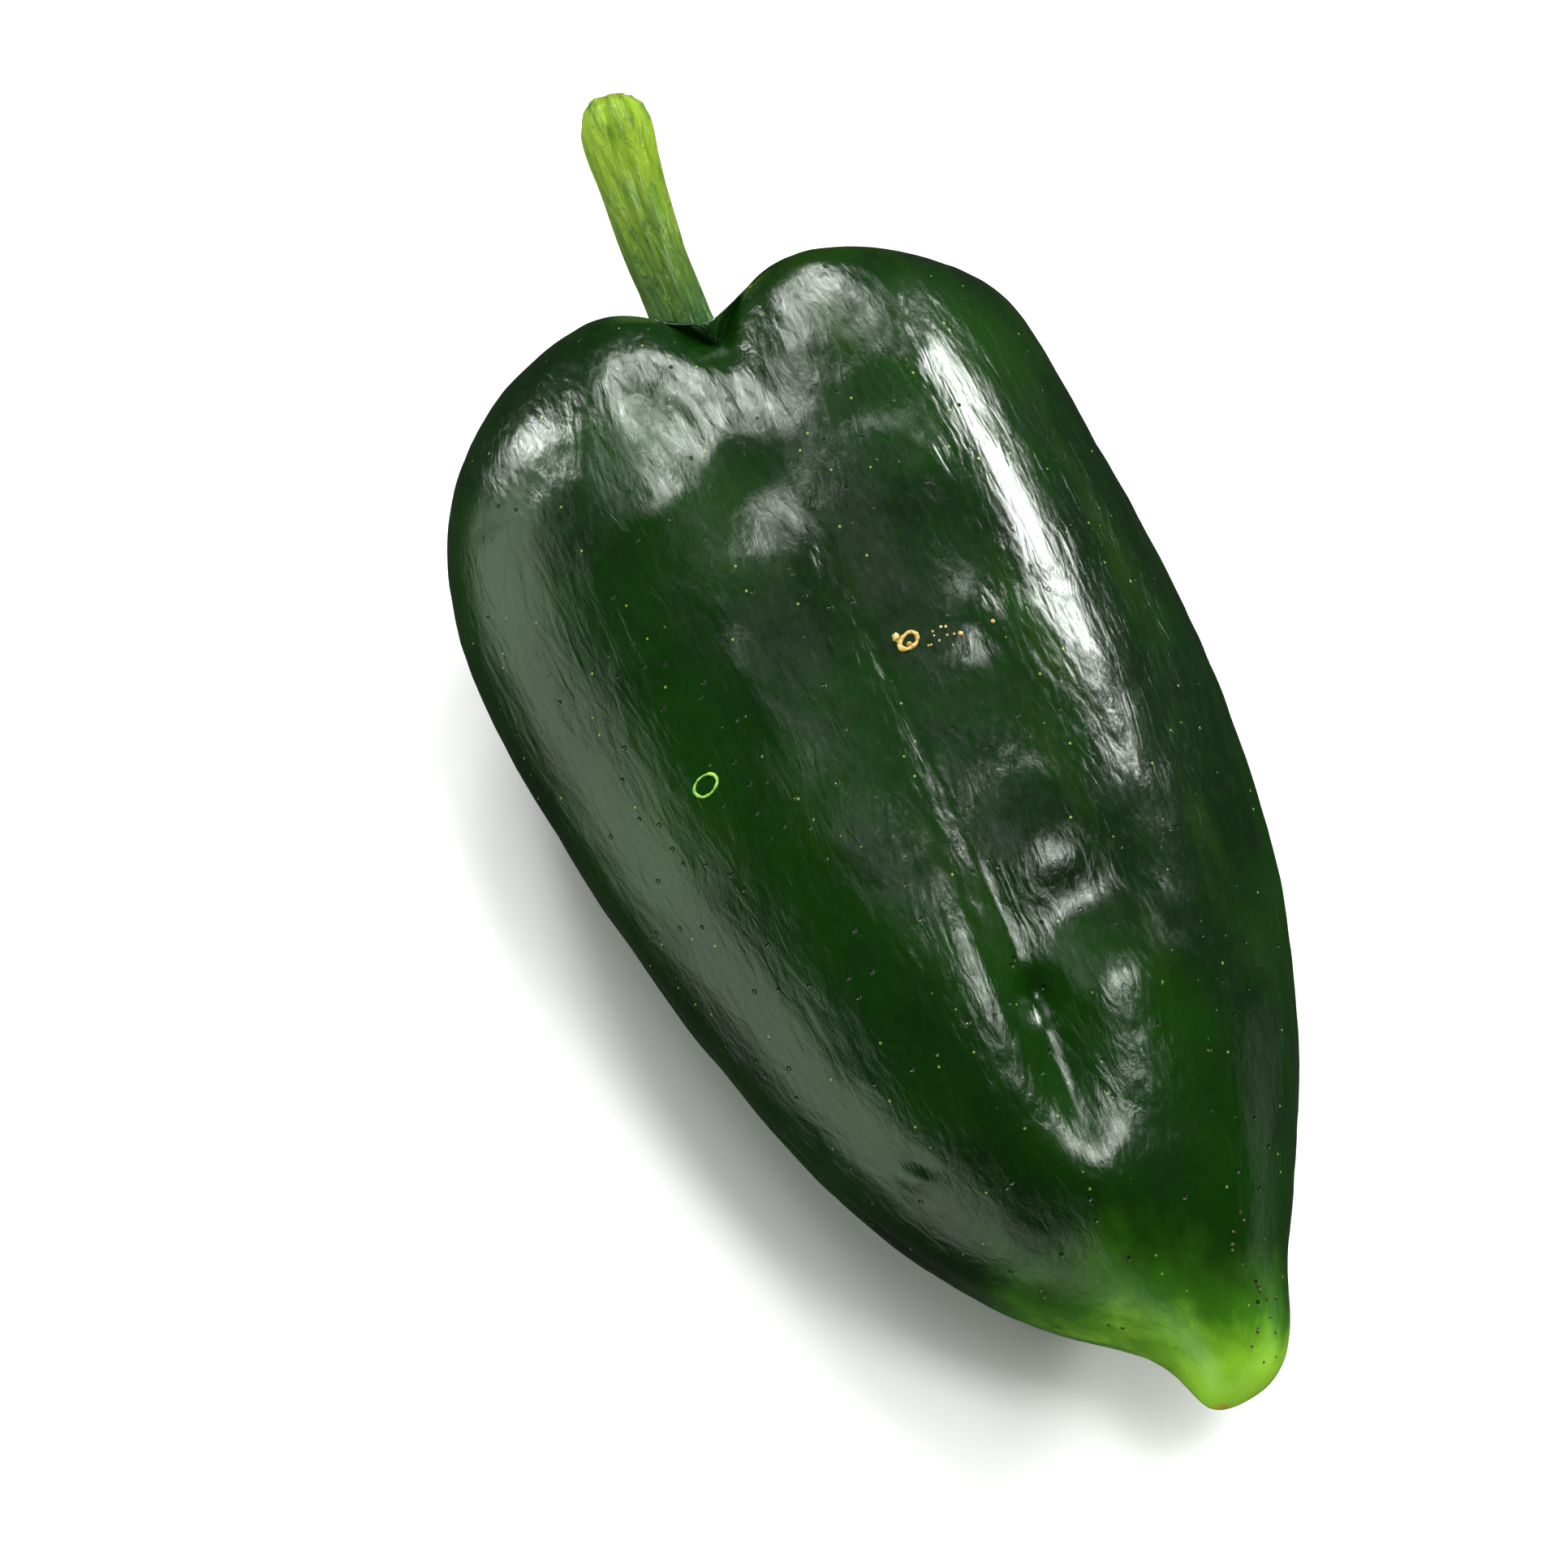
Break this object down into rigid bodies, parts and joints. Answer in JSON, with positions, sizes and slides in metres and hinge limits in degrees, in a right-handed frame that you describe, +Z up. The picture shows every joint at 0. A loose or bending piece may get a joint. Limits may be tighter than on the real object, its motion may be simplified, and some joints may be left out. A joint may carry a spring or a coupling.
{
  "type": "poblano pepper",
  "caption": "Fresh poblano pepper lying on its side: a broad-shouldered, furrowed pod that tapers to a blunt tip, with its calyx and a short cut stem.",
  "frame": {"origin": "middle of the underside of the bounding box, on the surface the pepper lies on", "axes": "+Y along the pepper from the tip to the stem end, +X to the right seen from above with the stem end away, +Z up"},
  "size_m": [0.0704, 0.1508, 0.048],
  "materials": {
    "skin": "dark green waxy skin, glossy, with pale specks and fine pits",
    "calyx": "green, leathery, veined",
    "stem": "yellow-green, ribbed, fibrous, with a pale cut end"
  },
  "bodies": {
    "root": {"pod": "skin", "calyx": "calyx", "stem": "stem"}
  },
  "joints": []
}
